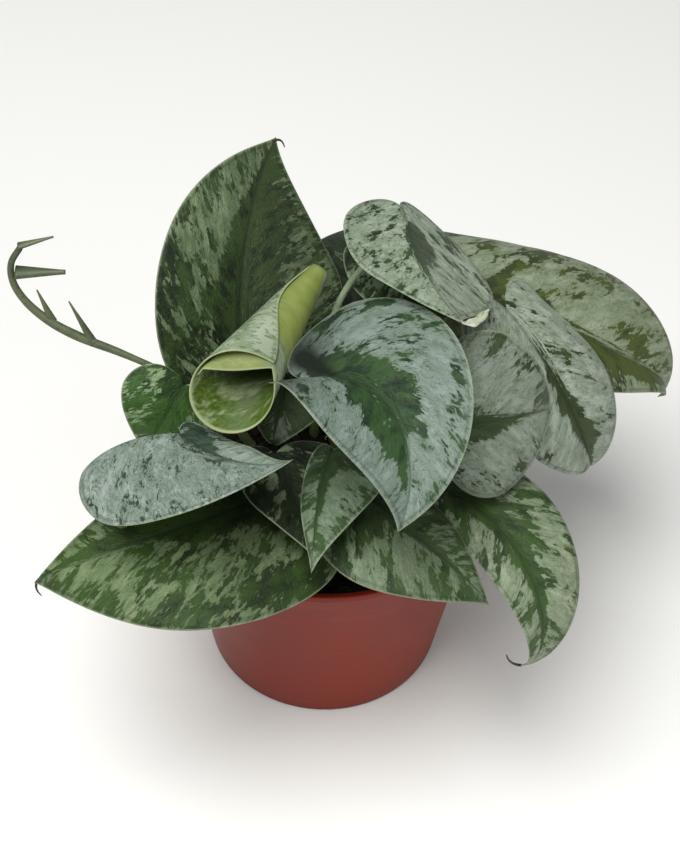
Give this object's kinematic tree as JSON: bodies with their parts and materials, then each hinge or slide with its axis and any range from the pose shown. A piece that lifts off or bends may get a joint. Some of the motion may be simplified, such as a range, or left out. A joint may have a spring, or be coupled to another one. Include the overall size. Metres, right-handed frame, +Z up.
{
  "type": "potted satin pothos",
  "caption": "Trailing house plant with silver-marked heart-shaped leaves in a round tapered nursery pot filled with soil; stands free on its base.",
  "frame": {"origin": "centre of the pot's underside, on the surface the pot stands on", "axes": "+Z up through the pot's axis, -Y towards the plant's front, +X to the right seen from the front"},
  "size_m": [0.2429, 0.1978, 0.1977],
  "materials": {
    "pot_plastic": "satin",
    "soil": "matte",
    "stem": "satin",
    "leaf": "satin",
    "young_leaf": "satin",
    "runner": "satin"
  },
  "bodies": {
    "root": {"pot": "pot_plastic", "soil": "soil", "stem_left": "stem", "stem_front": "stem", "stem_middle": "stem", "stem_right": "stem", "stem_back": "stem", "stem_rear": "stem", "leaf_back_left": "leaf", "leaf_left_small": "leaf", "leaf_left_silver": "leaf", "leaf_lower_left": "leaf", "leaf_front_small": "leaf", "leaf_front_under": "leaf", "leaf_front_heart": "leaf", "leaf_lower_front": "leaf", "leaf_lower_right": "leaf", "leaf_top_silver": "leaf", "leaf_top_under": "leaf", "leaf_back_right": "leaf", "leaf_right_far": "leaf", "leaf_right_mid": "leaf", "leaf_middle_small": "leaf", "leaf_rear_middle": "leaf", "leaf_rear_left": "leaf", "leaf_rear_right": "leaf", "leaf_rear_high": "leaf", "leaf_side_right": "leaf", "leaf_rolled_young": "young_leaf", "runner": "runner"}
  },
  "joints": []
}
